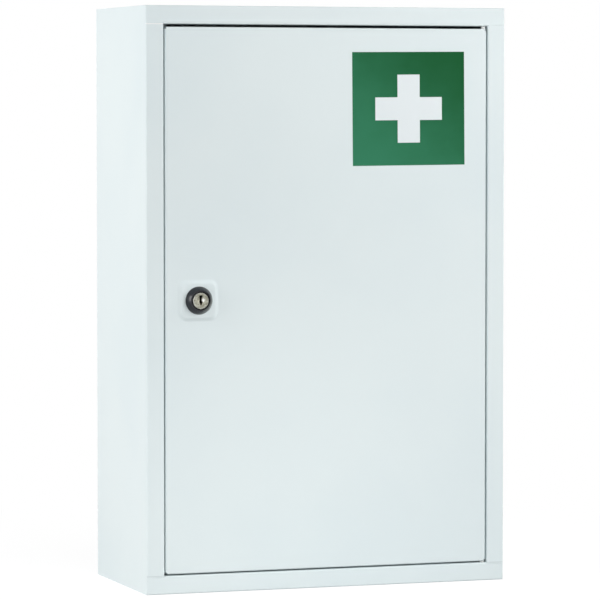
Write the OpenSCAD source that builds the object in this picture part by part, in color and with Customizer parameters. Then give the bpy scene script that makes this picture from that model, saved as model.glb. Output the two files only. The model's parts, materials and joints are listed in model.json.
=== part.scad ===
// Lockable wall cabinet for medicines and dressings.
// A folded steel casing with a front frame, an inset door on two pivot pins,
// a wafer lock with a quarter-turn cam, and two shelves.
//
// Frame: millimetres, +Z up, the door faces -Y and hangs on the +X side.
// Origin: centre of the casing's underside.

/* [Casing] */
// Width over the sides
cabinet_w = 300; // [240:10:420]
// Height over the top and bottom panels
cabinet_h = 460; // [400:10:640]
// Depth from the face of the frame to the back
cabinet_d = 140; // [120:5:240]
// Thickness of the casing and door sheet
sheet = 0.8; // [0.6:0.1:1.2]
// Inside radius of every fold
fold_r = 0.4; // [0.2:0.1:1]

/* [Front frame] */
// Width of the frame round the door opening
frame_w = 14.5; // [12:0.5:24]
// Height of the corner seams above and below the ends
seam_h = 13.6; // [11:0.1:14]
// Hairline between two flanges at a corner seam
seam_gap = 0.1; // [0.05:0.05:0.3]
// How far the side flanges stand in front of the top and bottom ones
side_proud = 0.3; // [0.1:0.1:0.5]
// Depth of the frame's return on the hinge side
jamb_d = 12; // [8:1:14]
// Depth of the top and bottom returns
return_d = 11; // [8:1:13]
// Width of the lip that stops the door on the lock side
stop_lip = 7; // [5:0.5:10]

/* [Door] */
// Depth of the door's folded edges
door_d = 15; // [14:0.5:20]
// Gap beside the door on the lock side
gap_lock = 0.9; // [0.8:0.1:2]
// Gap beside the door on the hinge side
gap_hinge = 1.2; // [1.1:0.1:2.5]
// Gap above the door
gap_top = 2.2; // [1.4:0.1:3]
// Gap below the door
gap_bottom = 1.25; // [1:0.05:2]
// Gap behind the door, filled by the buffers
gap_stop = 1; // [0.8:0.1:2]
// Relief cut out of each corner of the door
corner_relief = 1.5; // [1.3:0.1:2]

/* [Hinge] */
// Distance of the pivot from the door's face and from its edge
pivot_inset = 2.2; // [2.1:0.1:2.4]
// Diameter of the pivot pins
pin_d = 2; // [1.6:0.1:2.2]
// Diameter of a pin's head
pin_head_d = 2.7; // [2.4:0.1:2.8]
// Thickness of a pin's head
pin_head_h = 1.2; // [0.8:0.1:2]
// How far a pin reaches past the sheet it turns in
pin_reach = 2; // [1:0.5:4]
// Outside diameter of the spacer washers
washer_d = 3.4; // [3:0.1:3.8]

/* [Door stop] */
// Diameter of the rubber buffers
buffer_d = 5; // [4:0.5:6]
// Distance of the buffers from the ends of the door
buffer_inset = 60; // [40:5:90]

/* [Lock place] */
// Height of the lock above the underside
lock_z = 230; // [200:1:250]
// Distance of the lock from the door's free edge
lock_inset = 27; // [24:0.5:40]
// Side of the pressed square round the lock
boss_w = 34; // [31:0.5:36]
// Side of the flat seat on that square
seat_w = 25; // [24.5:0.5:27]
// Height of the pressing
boss_h = 1.7; // [0.8:0.1:2.5]

/* [Lock] */
// Diameter of the rosette
rosette_d = 22; // [21:0.5:24]
// Height of the rosette
rosette_h = 5.5; // [4.8:0.1:7]
// Height of the rosette's upright rim
rosette_rim = 0.4; // [0.3:0.1:1]
// Width of the crown where the rosette's flank ends
rosette_crown = 0.9; // [0.5:0.1:1.2]
// How far the rosette's flank bulges from a straight cone
rosette_bulge = 0.25; // [0.1:0.05:0.4]
// Diameter of the rosette's hole
rosette_bore = 14.8; // [14.6:0.1:15.4]
// Diameter of the lock's clamping flange
flange_d = 18; // [17:0.5:18.5]
// Thickness of the clamping flange
flange_t = 1.9; // [1.4:0.1:2.4]
// Diameter of the threaded barrel
barrel_d = 16; // [15:0.5:16.5]
// Width of the barrel across its flats
barrel_flats = 14; // [13:0.5:14.5]
// Diameter of the turning core
core_d = 10; // [9.6:0.2:10.4]
// Diameter of the core's face
core_face_d = 13; // [12:0.2:13.2]
// Thickness of the core's head
core_head_h = 2.9; // [2.4:0.1:3.2]
// How far the core's face lies behind the rosette's rim
core_sunk = 0.3; // [0.1:0.1:0.8]
// How far the housing's rim lies behind the rosette's rim
housing_sunk = 1.1; // [0.8:0.1:1.5]
// Width of the clamping nut across its flats
nut_af = 20; // [19:0.5:21]
// Thickness of the nut
nut_t = 4; // [3:0.5:6]
// How far the nut's corners are turned down
nut_chamfer = 0.7; // [0.3:0.1:1]
// Diameter of the spring washer under the nut
spring_washer_d = 20.4; // [19:0.2:21]
// Thickness of the spring washer
spring_washer_t = 1.2; // [0.8:0.1:1.6]
// Width of the slit in the spring washer
spring_slit = 1.6; // [1:0.2:2.4]

/* [Key slot] */
// Height of the key slot
slot_h = 7.8; // [6:0.2:7.8]
// Width of the slot's blade gap
slot_w = 1.4; // [1:0.1:1.8]
// Width of the slot's wide parts
slot_wide = 2.3; // [2:0.1:2.6]
// How far the slot's middle lies above the core's axis
slot_up = 0.5; // [0:0.1:0.5]
// Length of the slot into the core
slot_len = 19; // [17:0.5:20]
// Diameter of the dish that guides the key's tip
dish_d = 6.4; // [5:0.2:7]
// Depth of the dish
dish_h = 0.9; // [0.4:0.1:1]
// How far the dish lies above the core's axis
dish_up = 1.2; // [0:0.1:1.5]
// Turned-down edge of the core's face
core_chamfer = 0.4; // [0.2:0.1:0.6]
// Radius of the index notch at the foot of the core's face
index_r = 0.5; // [0.3:0.1:0.7]

/* [Wafers] */
// Thickness of a wafer
wafer_t = 0.7; // [0.5:0.1:0.9]
// Width of a wafer
wafer_w = 5.4; // [5:0.1:6]
// Distance from one wafer to the next
wafer_pitch = 2.6; // [2.2:0.1:2.8]
// Number of wafers
wafer_count = 5; // [4:1:5]
// Width of the window that the key passes through
wafer_window_w = 3; // [2.6:0.1:3.4]
// Height of that window
wafer_window_h = 4.2; // [3.6:0.1:4.6]

/* [Cam] */
// Length of the cam from the axis to its tip
cam_len = 32; // [30:0.5:36]
// Width of the cam
cam_w = 16; // [12:0.5:18]
// Width of the cam's tip
cam_tip_w = 11; // [8:0.5:12]
// Thickness of the cam
cam_t = 2; // [1.5:0.1:3]
// Gap between the cam and the stop lip
cam_gap = 0.7; // [0.4:0.1:1.5]
// Thickness of the disc that limits the turn
disc_t = 1.4; // [1:0.1:2]
// Side of the core's square end
square_w = 6.8; // [6:0.1:7]
// Diameter of the cam's screw
screw_d = 4; // [3:0.5:5]
// Diameter of the screw's head
screw_head_d = 9.5; // [9:0.5:11]
// Thickness of the screw's head
screw_head_h = 2.6; // [2:0.1:3.5]
// Length of the screw in the core
screw_len = 6; // [4:0.5:7]

/* [Shelves] */
// Height of the lower shelf
shelf_lower_z = 155; // [130:5:170]
// Height of the upper shelf
shelf_upper_z = 305; // [285:5:330]
// Height of a shelf's folded edges
shelf_lip = 10; // [6:1:20]
// Distance of a shelf's front edge from the face of the frame
shelf_setback = 21; // [21:1:40]
// Thickness of the shelf sheet
shelf_sheet = 0.8; // [0.6:0.1:1.2]
// Gap between a shelf and the casing
shelf_gap = 0.4; // [0.3:0.1:1]
// Length of a shelf rail
rail_len = 100; // [60:5:110]
// Width of a rail's two legs
rail_leg = 12; // [8:1:18]
// Thickness of a rail
rail_t = 1; // [0.8:0.1:1.5]

/* [Wall fixing] */
// Diameter of the wall holes
wall_hole_d = 7; // [5:0.5:9]
// Spacing of the wall holes across
wall_hole_dx = 220; // [160:10:220]
// Spacing of the wall holes up and down
wall_hole_dz = 380; // [300:10:380]

/* [Hidden] */
$fn = 64;
paint = [0.86, 0.90, 0.91];
inner_paint = [0.84, 0.88, 0.89];
dark_chrome = [0.17, 0.18, 0.20];
nickel = [0.72, 0.71, 0.66];
zinc = [0.66, 0.67, 0.69];
brass = [0.72, 0.56, 0.26];
nylon = [0.90, 0.90, 0.87];
rubber = [0.20, 0.20, 0.21];

fit = 0.05;   // running clearance on a radius
fuse = 0.5;   // overlap of two shapes that are joined
through = 1;  // how far a cutter reaches past what it cuts

// The casing's faces
front = -cabinet_d / 2;
back = cabinet_d / 2;
half_w = cabinet_w / 2;
half_sheet = sheet / 2;
fold_out = fold_r + sheet;
panel_front = front + side_proud;

// The door opening and the faces of the frame's returns
opening_x = half_w - frame_w;
opening_low = frame_w;
opening_high = cabinet_h - frame_w;
stop_depth = door_d + gap_stop;
stop_y = front + stop_depth;

// The door's edges
door_low_x = -opening_x + gap_lock;
door_high_x = opening_x - gap_hinge;
door_low_z = opening_low + gap_bottom;
door_high_z = opening_high - gap_top;
door_w = door_high_x - door_low_x;
door_h = door_high_z - door_low_z;

// The door's pivot
pivot_x = door_high_x - pivot_inset;
pivot_y = front + pivot_inset;
pin_r = pin_d / 2;

// The lock's axis, and depths along it from the door's face
lock_x = door_low_x + lock_inset;
seat_depth = -boss_h;
rosette_face = seat_depth - rosette_h;
housing_face = rosette_face + housing_sunk;
core_face = rosette_face + core_sunk;
core_shoulder = core_face + core_head_h;
washer_depth = seat_depth + sheet;
nut_depth = washer_depth + spring_washer_t;
cam_depth = stop_depth + sheet + cam_gap;
disc_depth = cam_depth - disc_t;
barrel_end = disc_depth - 2 * fit;
wafer_first = seat_depth + 0.6;
slot_y = -slot_up;

// Shapes that repeat

// A folded sheet seen end-on: straight legs along the middle of the sheet, with a round fold at each corner
module folded_section(path, t) {
    mid_r = fold_r + t / 2;
    last = len(path) - 1;
    for (i = [0 : last - 1]) {
        along = (path[i + 1] - path[i]) / norm(path[i + 1] - path[i]);
        start = path[i] + along * (i > 0 ? mid_r : 0);
        end = path[i + 1] - along * (i < last - 1 ? mid_r : 0);
        translate(start)
            rotate(atan2(along.y, along.x))
                translate([0, -t / 2])
                    square([norm(end - start), t]);
    }
    for (i = [1 : last - 1]) {
        into = (path[i] - path[i - 1]) / norm(path[i] - path[i - 1]);
        out_of = (path[i + 1] - path[i]) / norm(path[i + 1] - path[i]);
        outward = into - out_of;
        translate(path[i] - outward * mid_r)
            rotate(atan2(outward.y, outward.x) - 45)
                quarter_ring(mid_r - t / 2, mid_r + t / 2);
    }
}

module quarter_ring(inner, outer) {
    intersection() {
        difference() {
            circle(outer);
            circle(inner);
        }
        square(2 * outer);
    }
}

// Runs an outline drawn in the Y-Z plane along X, centred
module along_x(length) {
    rotate([90, 0, 90])
        linear_extrude(length, center = true)
            children();
}

// One edge folded up from a flat sheet: the outer face is at x = 0 and the edge runs along y, centred
module folded_edge(length, height, t) {
    outer = fold_r + t;
    rotate([90, 0, 0])
        linear_extrude(length, center = true)
            folded_section([[-outer - fuse, t / 2], [-t / 2, t / 2], [-t / 2, height]], t);
}

// A shallow tray lying on z = 0, centred, with its four edges folded up
module folded_tray(w, d, height, t, relief) {
    outer = fold_r + t;
    translate([-w / 2 + outer, -d / 2 + outer, 0])
        cube([w - 2 * outer, d - 2 * outer, t]);
    for (side = [0, 180])
        rotate(side) {
            translate([w / 2, 0, 0])
                folded_edge(d - 2 * relief, height, t);
            rotate(90)
                translate([d / 2, 0, 0])
                    folded_edge(w - 2 * relief, height, t);
        }
}

// A rectangle with four round corners
module round_rectangle(x0, y0, x1, y1, r) {
    translate([x0 + r, y0])
        square([x1 - x0 - 2 * r, y1 - y0]);
    translate([x0, y0 + r])
        square([x1 - x0, y1 - y0 - 2 * r]);
    for (x = [x0 + r, x1 - r], y = [y0 + r, y1 - r])
        translate([x, y])
            circle(r);
}

// Puts children in the lock's frame: z runs into the door from its face, y runs down
module at_lock() {
    translate([lock_x, front, lock_z])
        rotate([-90, 0, 0])
            children();
}

// A tube along z between two depths
module tube(outer, inner, from, to) {
    translate([0, 0, from])
        difference() {
            cylinder(r = outer, h = to - from);
            translate([0, 0, -through])
                cylinder(r = inner, h = to - from + 2 * through);
        }
}

// A disc with two flats across x, as the lock's barrel and its hole have
module flatted_disc(r, flats) {
    intersection() {
        circle(r);
        square([flats, 2 * r + fuse], center = true);
    }
}

// Casing

// Back, sides, side flanges and the returns behind them, folded from one sheet
module casing_shell() {
    flange_y = front + half_sheet;
    jamb_x = opening_x + half_sheet;
    side_x = half_w - half_sheet;
    back_y = back - half_sheet;
    path = [
        [-opening_x + stop_lip, stop_y + half_sheet],
        [-jamb_x, stop_y + half_sheet],
        [-jamb_x, flange_y],
        [-side_x, flange_y],
        [-side_x, back_y],
        [side_x, back_y],
        [side_x, flange_y],
        [jamb_x, flange_y],
        [jamb_x, front + jamb_d]
    ];
    color(paint)
        difference() {
            translate([0, 0, sheet])
                linear_extrude(cabinet_h - 2 * sheet)
                    folded_section(path, sheet);
            shell_corner_cuts();
            wall_holes();
        }
}

// Makes room for the front flanges of the top and bottom panels
module shell_corner_cuts() {
    flange_back = panel_front + sheet;
    inner_x = half_w - sheet;
    for (z = [-through, cabinet_h - seam_h]) {
        translate([-half_w - through, front - through, z])
            cube([cabinet_w + 2 * through, flange_back - front + through, seam_h + through]);
        translate([-inner_x, front - through, z])
            cube([2 * inner_x, stop_depth + sheet + 2 * through, seam_h + through]);
    }
}

module wall_holes() {
    for (x = [-1, 1], z = [-1, 1])
        translate([x * wall_hole_dx / 2, back + through, cabinet_h / 2 + z * wall_hole_dz / 2])
            rotate([90, 0, 0])
                cylinder(d = wall_hole_d, h = sheet + 2 * through);
}

// A panel with its front flange and the return under it, drawn as the top one
module end_panel() {
    flange_y = panel_front + half_sheet;
    return_z = opening_high + half_sheet;
    color(paint)
        difference() {
            intersection() {
                union() {
                    along_x(cabinet_w)
                        folded_section([
                            [flange_y, cabinet_h - seam_h + seam_gap],
                            [flange_y, cabinet_h - half_sheet],
                            [back, cabinet_h - half_sheet]
                        ], sheet);
                    along_x(2 * (opening_x - fit))
                        folded_section([
                            [flange_y, cabinet_h - seam_h / 2],
                            [flange_y, return_z],
                            [panel_front + return_d, return_z]
                        ], sheet);
                }
                linear_extrude(cabinet_h + through)
                    round_rectangle(-half_w, panel_front, half_w, back, fold_out);
            }
            translate([pivot_x, pivot_y, opening_high - through])
                cylinder(r = pin_r + fit, h = sheet + 2 * through);
        }
}

module top_panel() {
    end_panel();
}

module bottom_panel() {
    translate([0, 0, cabinet_h])
        mirror([0, 0, 1])
            end_panel();
}

// Shelves

module shelf(z) {
    inner_w = cabinet_w - 2 * sheet - 2 * shelf_gap;
    front_y = front + shelf_setback;
    back_y = back - sheet - shelf_gap;
    color(inner_paint)
        translate([0, (front_y + back_y) / 2, z])
            folded_tray(inner_w, back_y - front_y, shelf_lip, shelf_sheet, fold_r + shelf_sheet);
}

module shelf_lower() {
    shelf(shelf_lower_z);
}

module shelf_upper() {
    shelf(shelf_upper_z);
}

// An angle welded to the casing's side under a shelf. side is -1 on the left and 1 on the right
module shelf_rail(side, z) {
    wall_x = half_w - sheet;
    middle_y = (front + shelf_setback + back - sheet - shelf_gap) / 2;
    color(inner_paint)
        translate([0, middle_y, 0])
            mirror([side < 0 ? 1 : 0, 0, 0])
                rotate([90, 0, 0])
                    linear_extrude(rail_len, center = true)
                        folded_section([
                            [wall_x - rail_leg, z - rail_t / 2],
                            [wall_x - rail_t / 2, z - rail_t / 2],
                            [wall_x - rail_t / 2, z - rail_leg]
                        ], rail_t);
}

module rail_lower_left() {
    shelf_rail(-1, shelf_lower_z);
}

module rail_lower_right() {
    shelf_rail(1, shelf_lower_z);
}

module rail_upper_left() {
    shelf_rail(-1, shelf_upper_z);
}

module rail_upper_right() {
    shelf_rail(1, shelf_upper_z);
}

// Door

// The door's tray stands on its edge: its flat face is turned to the front
module door_panel() {
    middle_x = (door_low_x + door_high_x) / 2;
    middle_z = (door_low_z + door_high_z) / 2;
    color(paint)
        difference() {
            union() {
                translate([middle_x, front, middle_z])
                    rotate([-90, 0, 0])
                        folded_tray(door_w, door_h, door_d, sheet, corner_relief);
                hinge_ears();
                at_lock()
                    pressed_square(0, half_sheet);
            }
            at_lock() {
                pressed_square(sheet, through);
                translate([0, 0, seat_depth - through])
                    linear_extrude(sheet + 2 * through)
                        flatted_disc(barrel_d / 2 + 3 * fit, barrel_flats + 6 * fit);
            }
            translate([pivot_x, pivot_y, door_low_z - through])
                cylinder(r = pin_r + fit / 2, h = door_h + 2 * through);
        }
}

// The top and bottom edges run on over the hinge-side edge, where the pins pass through
module hinge_ears() {
    ear_w = pivot_inset + pin_head_d;
    for (z = [door_low_z, door_high_z - sheet])
        translate([door_high_x - half_sheet - ear_w, front + fold_out, z])
            cube([ear_w, door_d - fold_out, sheet]);
}

// Section of the pressing's shoulder: two equal arcs that meet half-way down. It reaches back behind the face
module shoulder_section(behind) {
    run = (boss_w - seat_w) / 2;
    arc_r = (run ^ 2 + boss_h ^ 2) / (4 * boss_h);
    // The foot dips this far under the face, so that it meets it at a clean edge
    dip = 0.02;
    intersection() {
        translate([0, boss_h - arc_r])
            circle(arc_r);
        translate([0, -behind])
            square([run / 2, behind + boss_h]);
    }
    translate([0, -behind])
        square([run / 2, behind]);
    difference() {
        translate([run / 2, -behind])
            square([run / 2, behind + boss_h / 2]);
        translate([run, arc_r - dip])
            circle(arc_r);
    }
}

// The raised square round the lock. Moved back by the sheet, it hollows out its own inside
module pressed_square(moved, behind) {
    seat_r = 3;
    straight = seat_w - 2 * seat_r;
    translate([0, 0, moved])
        mirror([0, 0, 1]) {
            translate([0, 0, -behind])
                linear_extrude(behind + boss_h)
                    round_rectangle(-seat_w / 2, -seat_w / 2, seat_w / 2, seat_w / 2, seat_r);
            for (turn = [0 : 90 : 270])
                rotate(turn) {
                    translate([seat_w / 2, 0, 0])
                        rotate([90, 0, 0])
                            linear_extrude(straight, center = true)
                                shoulder_section(behind);
                    translate([straight / 2, straight / 2, 0])
                        rotate_extrude(angle = 90)
                            translate([seat_r, 0])
                                shoulder_section(behind);
                }
        }
}

// Hinge

// A pin with its head inside the door. up is 1 for the upper pin and -1 for the lower one
module hinge_pin(up) {
    door_edge = up > 0 ? door_high_z : door_low_z;
    gap = up > 0 ? gap_top : gap_bottom;
    color(zinc)
        translate([pivot_x, pivot_y, door_edge])
            mirror([0, 0, up > 0 ? 0 : 1]) {
                translate([0, 0, -sheet - pin_head_h])
                    cylinder(d = pin_head_d, h = pin_head_h);
                translate([0, 0, -sheet - pin_head_h / 2])
                    cylinder(r = pin_r, h = sheet + pin_head_h / 2 + gap + sheet + pin_reach);
            }
}

module hinge_pin_upper() {
    hinge_pin(1);
}

module hinge_pin_lower() {
    hinge_pin(-1);
}

// The lower washer lies on the frame and carries the door
module hinge_washer_lower() {
    washer_play = 0.25;
    color(nylon)
        translate([pivot_x, pivot_y, 0])
            tube(washer_d / 2, pin_r + fit, opening_low, door_low_z - washer_play);
}

// The upper washer lies on the door and keeps it down
module hinge_washer_upper() {
    washer_play = 0.25;
    color(nylon)
        translate([pivot_x, pivot_y, 0])
            tube(washer_d / 2, pin_r + fit, door_high_z, opening_high - washer_play);
}

// Rubber pads on the stop lip, under the door's free edge
module door_buffers() {
    pad_play = 0.1;
    pad_x = -opening_x + stop_lip / 2;
    color(rubber)
        for (z = [door_low_z + buffer_inset, door_high_z - buffer_inset])
            translate([pad_x, stop_y, z])
                rotate([90, 0, 0])
                    cylinder(d = buffer_d, h = gap_stop - pad_play);
}

// Lock

// The ring that covers the lock's flange. Its flank is a cone with a slight bulge, and its crown is round
module lock_rosette() {
    r = rosette_d / 2;
    bore_r = rosette_bore / 2;
    crown_r = bore_r + rosette_crown;
    // The flank's chord runs from the rim's top to the crown
    run = r - crown_r;
    rise = rosette_h - rosette_rim;
    chord = norm([run, rise]);
    flank_r = (chord ^ 2 / 4 + rosette_bulge ^ 2) / (2 * rosette_bulge);
    recess_r = flange_d / 2 + fit;
    recess_h = flange_t + fit;
    color(dark_chrome)
        at_lock()
            translate([0, 0, seat_depth])
                mirror([0, 0, 1])
                    rotate_extrude($fn = 96)
                        difference() {
                            union() {
                                square([r, rosette_rim]);
                                polygon([
                                    [0, rosette_rim / 2], [r, rosette_rim / 2], [r, rosette_rim],
                                    [crown_r, rosette_h], [0, rosette_h]
                                ]);
                                intersection() {
                                    translate([crown_r + run / 2, rosette_rim + rise / 2])
                                        rotate(atan2(run, rise))
                                            translate([rosette_bulge - flank_r, 0])
                                                circle(flank_r, $fn = 192);
                                    square([r, rosette_h]);
                                }
                            }
                            translate([-fuse, -fuse])
                                square([recess_r + fuse, recess_h + fuse]);
                            translate([-fuse, 0])
                                square([bore_r + fuse, rosette_h + through]);
                        }
}

// The fixed barrel: flange, rim, flatted thread, core bore and the half ring that limits the turn
module lock_housing() {
    core_r = core_d / 2;
    rim_r = rosette_bore / 2 - 2 * fit;
    face_r = core_face_d / 2;
    channel_w = wafer_w + 0.4;
    channel_h = core_d + 2.4;
    channel_len = wafer_pitch * (wafer_count - 1) + 3 * wafer_t;
    color(zinc)
        at_lock() {
            difference() {
                union() {
                    translate([0, 0, housing_face])
                        cylinder(r = rim_r, h = seat_depth - housing_face);
                    translate([0, 0, seat_depth - flange_t])
                        cylinder(d = flange_d, h = flange_t);
                    translate([0, 0, seat_depth - fuse])
                        linear_extrude(barrel_end - seat_depth + fuse)
                            flatted_disc(barrel_d / 2, barrel_flats);
                }
                translate([0, 0, housing_face - through])
                    cylinder(r = core_r + fit, h = barrel_end - housing_face + 2 * through);
                translate([0, 0, housing_face - through])
                    cylinder(r = face_r + fit, h = core_shoulder + 2 * fit - housing_face + through);
                translate([-channel_w / 2, -channel_h / 2, wafer_first - wafer_t])
                    cube([channel_w, channel_h, channel_len]);
            }
            turn_stop();
        }
}

// Half ring on the barrel's end: the disc's tab meets one end unlocked and the other locked
module turn_stop() {
    stop_outer = barrel_flats / 2;
    stop_inner = square_w * 0.75 + 2 * fit;
    translate([0, 0, barrel_end - fuse])
        linear_extrude(disc_t + fuse)
            rotate(45)
                difference() {
                    intersection() {
                        circle(stop_outer);
                        translate([-2 * stop_outer - fit, -2 * stop_outer])
                            square([4 * stop_outer + 2 * fit, 2 * stop_outer - fit]);
                    }
                    circle(stop_inner);
                }
}

// The washer is slit, so that it springs and keeps the nut tight
module lock_spring_washer() {
    washer_r = spring_washer_d / 2;
    color(zinc)
        at_lock()
            difference() {
                tube(washer_r, barrel_d / 2 + 2 * fit, washer_depth, nut_depth);
                translate([-spring_slit / 2, 0, washer_depth - through])
                    cube([spring_slit, washer_r + through, spring_washer_t + 2 * through]);
            }
}

module lock_nut() {
    corner_r = nut_af / 2 / cos(30);
    color(zinc)
        at_lock()
            difference() {
                intersection() {
                    translate([0, 0, nut_depth])
                        cylinder(r = corner_r, h = nut_t, $fn = 6);
                    // Turning takes the corners off both faces
                    translate([0, 0, nut_depth])
                        rotate_extrude()
                            polygon([
                                [0, 0], [nut_af / 2, 0], [corner_r + fuse, nut_chamfer],
                                [corner_r + fuse, nut_t - nut_chamfer], [nut_af / 2, nut_t], [0, nut_t]
                            ]);
                }
                translate([0, 0, nut_depth - through])
                    cylinder(r = barrel_d / 2 + fit, h = nut_t + 2 * through);
            }
}

// Outline of the key slot: wide at its top and in its lower half
module key_slot_outline() {
    translate([-slot_w / 2, slot_y - slot_h / 2])
        square([slot_w, slot_h]);
    translate([-slot_wide / 2, slot_y - slot_h / 2])
        square([slot_wide, slot_h / 5]);
    translate([-slot_wide / 2, slot_y + slot_h * 0.06])
        square([slot_wide, slot_h / 4]);
}

// The disc that shows in the rosette, with its edge turned down
module core_head() {
    face_r = core_face_d / 2;
    rotate_extrude($fn = 96)
        polygon([
            [0, core_face], [face_r - core_chamfer, core_face], [face_r, core_face + core_chamfer],
            [face_r, core_shoulder], [0, core_shoulder]
        ]);
}

// The core turns in the housing. It is slotted for the key and across for each wafer
module lock_core() {
    core_r = core_d / 2;
    core_end = cam_depth + cam_t - 0.2;
    color(nickel)
        at_lock()
            difference() {
                union() {
                    core_head();
                    translate([0, 0, core_shoulder - fuse])
                        cylinder(r = core_r, h = disc_depth - core_shoulder + fuse);
                    translate([-square_w / 2, -square_w / 2, disc_depth - fuse])
                        cube([square_w, square_w, core_end - disc_depth + fuse]);
                }
                translate([0, 0, core_face - through])
                    linear_extrude(slot_len + through)
                        key_slot_outline();
                translate([0, -dish_up, core_face])
                    cylinder(d1 = dish_d, d2 = slot_w, h = dish_h);
                translate([0, core_face_d / 2, core_face - through])
                    cylinder(r = index_r, h = core_chamfer + through);
                for (i = [0 : wafer_count - 1])
                    translate([0, 0, wafer_first + i * wafer_pitch + wafer_t / 2])
                        cube([wafer_w + 2 * fit, core_d + 2, wafer_t + 2 * fit], center = true);
                translate([0, 0, core_end - screw_len])
                    cylinder(r = screw_d / 2 + fit / 2, h = screw_len + through);
            }
}

// Brass plates in the core. Each window sits at the height that its key cut has
module lock_wafers() {
    key_cuts = [0.1, -0.3, 0.3, -0.1, 0.2];
    color(brass)
        at_lock()
            for (i = [0 : wafer_count - 1])
                translate([0, 0, wafer_first + i * wafer_pitch])
                    linear_extrude(wafer_t)
                        difference() {
                            intersection() {
                                circle(core_d / 2 - fit);
                                square([wafer_w, core_d], center = true);
                            }
                            translate([0, slot_y + key_cuts[i % len(key_cuts)]])
                                square([wafer_window_w, wafer_window_h], center = true);
                        }
}

// The disc behind the barrel. Its tab meets the housing's half ring after a quarter turn
module turn_disc() {
    tab_r = barrel_flats / 2;
    hub_r = square_w * 0.75;
    color(zinc)
        at_lock()
            translate([0, 0, disc_depth])
                linear_extrude(disc_t)
                    difference() {
                        union() {
                            circle(hub_r);
                            intersection() {
                                circle(tab_r);
                                rotate(45)
                                    square(2 * tab_r);
                            }
                        }
                        square(square_w + 2 * fit, center = true);
                    }
}

// The cam hangs down when the door is free and swings behind the stop lip to lock
module lock_cam() {
    hub_r = cam_w / 2;
    tip_r = 2;
    color(zinc)
        at_lock()
            translate([0, 0, cam_depth])
                difference() {
                    union() {
                        cylinder(r = hub_r, h = cam_t);
                        linear_extrude(cam_t)
                            cam_arm(hub_r, tip_r);
                    }
                    translate([0, 0, cam_t / 2])
                        cube([square_w + 2 * fit, square_w + 2 * fit, cam_t + 2 * through], center = true);
                }
}

// The arm narrows from the hub to a tip with round corners
module cam_arm(hub_r, tip_r) {
    tip_x = cam_tip_w / 2;
    shoulder_y = cam_len - tip_r;
    polygon([
        [-hub_r, 0], [hub_r, 0],
        [tip_x, shoulder_y], [-tip_x, shoulder_y]
    ]);
    translate([-tip_x + tip_r, shoulder_y - fuse])
        square([2 * (tip_x - tip_r), tip_r + fuse]);
    for (x = [-1, 1])
        translate([x * (tip_x - tip_r), shoulder_y])
            circle(tip_r);
}

module cam_screw() {
    core_end = cam_depth + cam_t - 0.2;
    head_depth = cam_depth + cam_t;
    recess_w = 1.2;
    recess_h = 1.2;
    color(nickel)
        at_lock()
            difference() {
                union() {
                    translate([0, 0, core_end - screw_len + fuse])
                        cylinder(d = screw_d, h = head_depth - core_end + screw_len);
                    translate([0, 0, head_depth])
                        cylinder(d = screw_head_d, h = screw_head_h);
                }
                for (turn = [0, 90])
                    translate([0, 0, head_depth + screw_head_h - recess_h / 2 + through / 2])
                        rotate(turn)
                            cube([recess_w, screw_head_d * 0.6, recess_h + through], center = true);
            }
}

casing_shell();
top_panel();
bottom_panel();
shelf_lower();
shelf_upper();
rail_lower_left();
rail_lower_right();
rail_upper_left();
rail_upper_right();
door_buffers();
hinge_washer_lower();
door_panel();
hinge_washer_upper();
hinge_pin_upper();
hinge_pin_lower();
lock_rosette();
lock_housing();
lock_spring_washer();
lock_nut();
lock_core();
lock_wafers();
turn_disc();
lock_cam();
cam_screw();
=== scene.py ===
# %% [markdown]
# # A lockable medicine cabinet, dressed in Blender
#
# The cabinet is folded from sheet steel and powder-coated white. Its construction comes as a fixed
# frame of CAD parts, in metres, with +Z up and the door facing -Y. This lesson gives every part its
# finish and adds what a CAD model leaves out: the sign, the threads, the weld marks and the buffers.
#
# Each step first says what the real piece is and why it is made the way it is here.

# %% Load the frame
import json
import math

import bmesh
import bpy
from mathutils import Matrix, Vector


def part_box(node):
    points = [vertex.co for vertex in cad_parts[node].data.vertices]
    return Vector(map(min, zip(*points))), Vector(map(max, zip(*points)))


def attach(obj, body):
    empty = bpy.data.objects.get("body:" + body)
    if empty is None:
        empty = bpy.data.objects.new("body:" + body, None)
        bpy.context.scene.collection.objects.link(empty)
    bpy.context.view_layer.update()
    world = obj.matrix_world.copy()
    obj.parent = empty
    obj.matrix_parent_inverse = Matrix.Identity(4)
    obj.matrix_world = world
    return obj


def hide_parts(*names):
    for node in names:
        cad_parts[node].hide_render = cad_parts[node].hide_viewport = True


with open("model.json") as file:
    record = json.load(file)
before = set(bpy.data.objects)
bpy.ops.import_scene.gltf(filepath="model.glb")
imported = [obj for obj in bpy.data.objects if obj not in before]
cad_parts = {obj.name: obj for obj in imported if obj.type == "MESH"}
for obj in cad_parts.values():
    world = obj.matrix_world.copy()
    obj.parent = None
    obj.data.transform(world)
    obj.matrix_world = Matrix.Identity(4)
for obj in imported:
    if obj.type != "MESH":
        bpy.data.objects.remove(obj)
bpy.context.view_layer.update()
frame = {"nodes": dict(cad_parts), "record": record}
nodes = frame["nodes"]
MM = 0.001

# %% [markdown]
# ## The camera
#
# The photograph was taken from some way off, a little above the cabinet and to its left, so its
# verticals hardly converge. The place, turn and focal length below come from a fit to the six corners
# of the casing that the picture shows. The camera has no shift, because a shifted lens would push
# the cabinet off centre in every other view.

# %% Place the camera
CAMERA_PLACE = (-0.9759, -2.8209, 0.3815)
CAMERA_TURN_RIGHT = 19.096
CAMERA_TILT_DOWN = 3.0
LENS_MM = 221.7
SENSOR_MM = 36
FAR_LIMIT = 50


def new_object(name, data):
    """An object that holds the data, put in the scene."""
    thing = bpy.data.objects.new(name, data)
    bpy.context.scene.collection.objects.link(thing)
    return thing


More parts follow.
